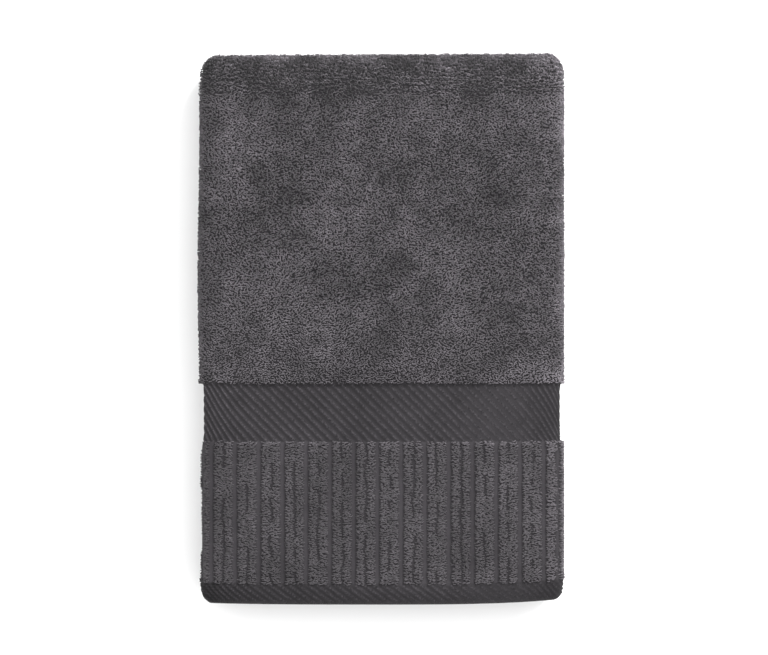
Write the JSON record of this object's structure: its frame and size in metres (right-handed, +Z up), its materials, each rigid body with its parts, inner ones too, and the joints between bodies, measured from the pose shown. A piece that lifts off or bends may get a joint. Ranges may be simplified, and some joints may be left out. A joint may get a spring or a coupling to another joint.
{
  "type": "folded turkish towel",
  "caption": "Folded charcoal terry bath towel with a flat dobby band of diagonal cords, a ribbed border and a woven hem strip along its lower end.",
  "frame": {"origin": "centre of the bounding box's underside, on the surface that the towel rests on", "axes": "+X across the folded towel to the right as seen from above, +Y from the hem towards the top fold, +Z up"},
  "size_m": [0.2298, 0.3466, 0.0526],
  "materials": {
    "terry": "matte charcoal cotton loops"
  },
  "bodies": {
    "root": {"towel": "terry"}
  },
  "joints": []
}
